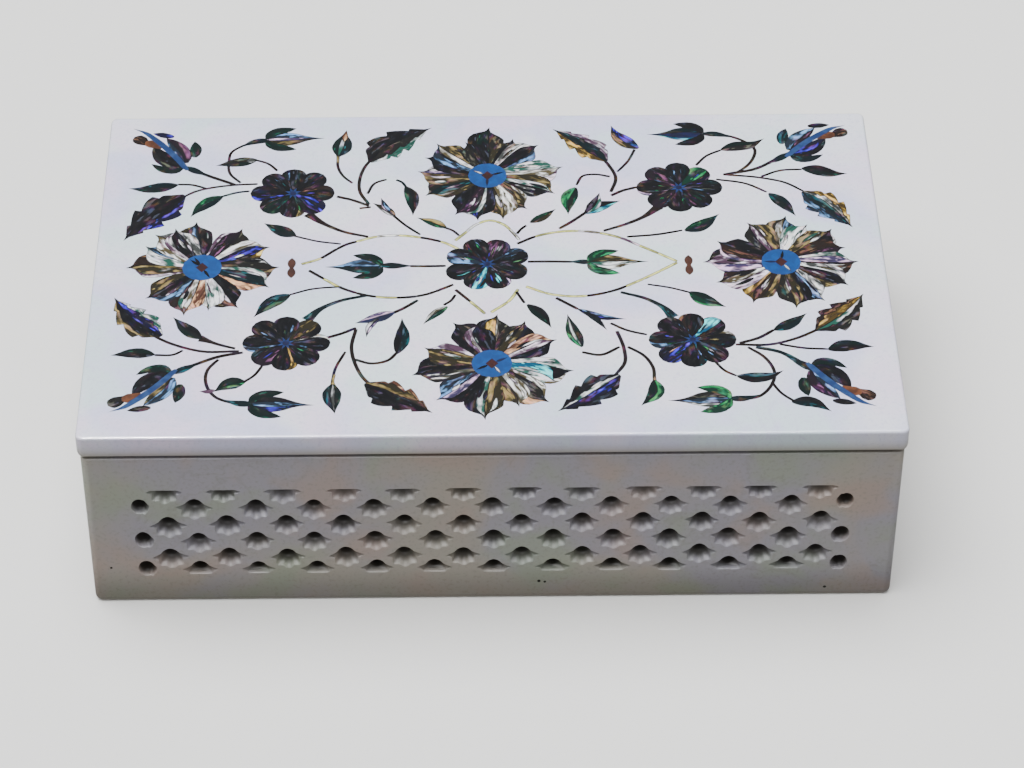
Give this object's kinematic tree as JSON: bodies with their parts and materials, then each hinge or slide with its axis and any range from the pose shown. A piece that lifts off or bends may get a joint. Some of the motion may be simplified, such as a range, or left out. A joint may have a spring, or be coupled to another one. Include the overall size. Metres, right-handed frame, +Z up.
{
  "type": "inlaid marble box",
  "caption": "Rectangular white marble box with a lift-off lid, flush shell inlay of flowers and leaves on the lid, and star lattice pierced through the walls.",
  "frame": {"origin": "middle of the underside, on the surface the box stands on", "axes": "+X along the length, -Y towards the front, +Z up through the lid"},
  "size_m": [0.203, 0.127, 0.057],
  "materials": {
    "marble": "polished, faintly mottled lavender white",
    "shell": "polished iridescent shell in silver, olive, pink and teal strips",
    "dark_shell": "polished dark iridescent shell with teal and violet streaks",
    "blue": "polished opaque blue stone",
    "red": "polished dark red stone",
    "brown": "polished chestnut shell"
  },
  "bodies": {
    "root": {"box_body": "marble", "lid": "marble", "flower_left": "shell", "flower_left_collar": "blue", "flower_left_centre": "red", "flower_right": "shell", "flower_right_collar": "blue", "flower_right_centre": "red", "flower_back": "shell", "flower_back_collar": "blue", "flower_back_centre": "red", "flower_front": "shell", "flower_front_collar": "blue", "flower_front_centre": "red", "rosette_middle": "dark_shell", "rosette_back_left": "dark_shell", "rosette_back_right": "dark_shell", "rosette_front_left": "dark_shell", "rosette_front_right": "dark_shell", "bead_left": "brown", "bead_right": "brown", "bud_left": "shell", "bud_right": "shell", "bud_back_left": "shell", "bud_back_right": "shell", "bud_front_left": "shell", "bud_front_right": "shell", "iris_back_left": "blue", "iris_back_right": "blue", "iris_front_left": "blue", "iris_front_right": "blue", "leaf_end_back_left": "dark_shell", "leaf_end_back_right": "dark_shell", "leaf_end_front_left": "dark_shell", "leaf_end_front_right": "dark_shell", "leaf_side_back_left": "dark_shell", "leaf_side_back_right": "dark_shell", "leaf_side_front_left": "dark_shell", "leaf_side_front_right": "dark_shell"}
  },
  "joints": []
}
